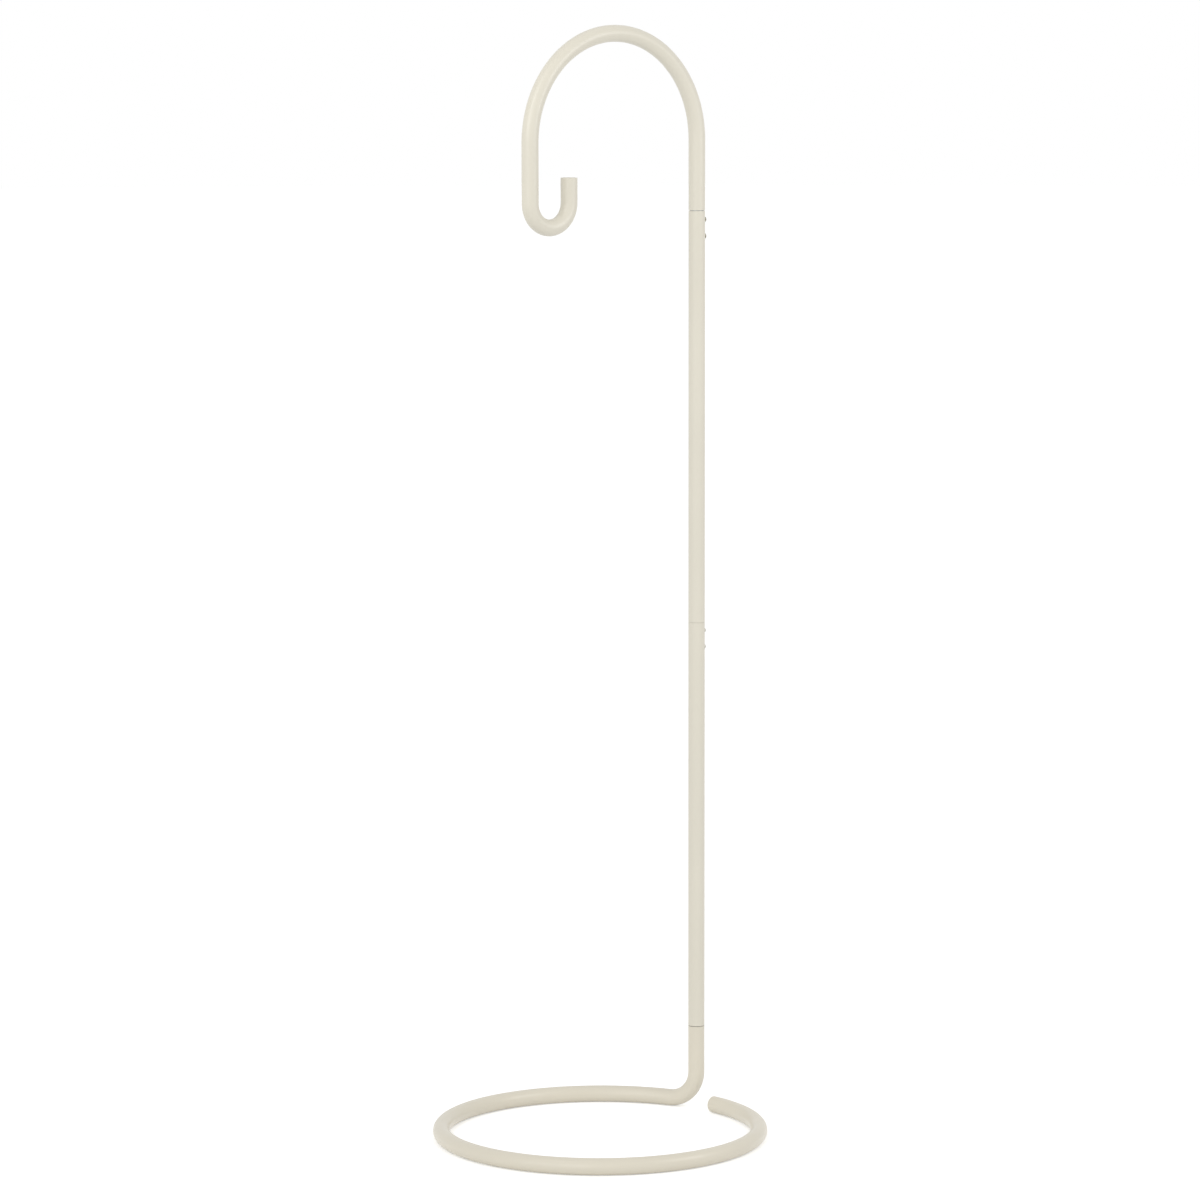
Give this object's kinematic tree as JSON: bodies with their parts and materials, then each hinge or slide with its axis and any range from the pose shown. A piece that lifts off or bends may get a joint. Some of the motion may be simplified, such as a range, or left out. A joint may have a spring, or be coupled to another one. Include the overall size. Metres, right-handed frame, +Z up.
{
  "type": "lamp stand",
  "caption": "Floor stand of bent steel tube: an open floor ring rises into a pole whose half-round arch ends in a small hook that hangs a lamp over the ring.",
  "frame": {"origin": "centre of the floor ring, on the floor; it is within 1 mm of the bottom centre of the bounding box", "axes": "+Z up along the pole; the arch lies in a plane parallel to XZ and reaches from the pole towards -X, the middle screw heads face +X and the top ones 6 degrees to its -Y side"},
  "size_m": [0.4005, 0.4, 1.322],
  "materials": {
    "cream_powder_coat": "satin cream powder coat with a faint fine texture",
    "cream_plastic": "matte moulded plastic, cream like the tubes",
    "zinc_steel": "bright zinc-plated steel",
    "screw_steel": "grey zinc-plated steel, satin"
  },
  "bodies": {
    "root": {"base_ring": "cream_powder_coat", "lower_pole": "cream_powder_coat", "upper_pole": "cream_powder_coat", "arch_hook": "cream_powder_coat", "ring_end_plug": "cream_plastic", "hook_end_plug": "cream_plastic", "base_stub_bush": "zinc_steel", "base_joint_stud": "zinc_steel", "lower_pole_bush": "zinc_steel", "mid_spigot": "zinc_steel", "mid_nut_1": "zinc_steel", "mid_nut_2": "zinc_steel", "mid_screw_1": "screw_steel", "mid_screw_2": "screw_steel", "top_spigot": "zinc_steel", "top_nut_1": "zinc_steel", "top_nut_2": "zinc_steel", "top_screw_1": "screw_steel", "top_screw_2": "screw_steel"}
  },
  "joints": []
}
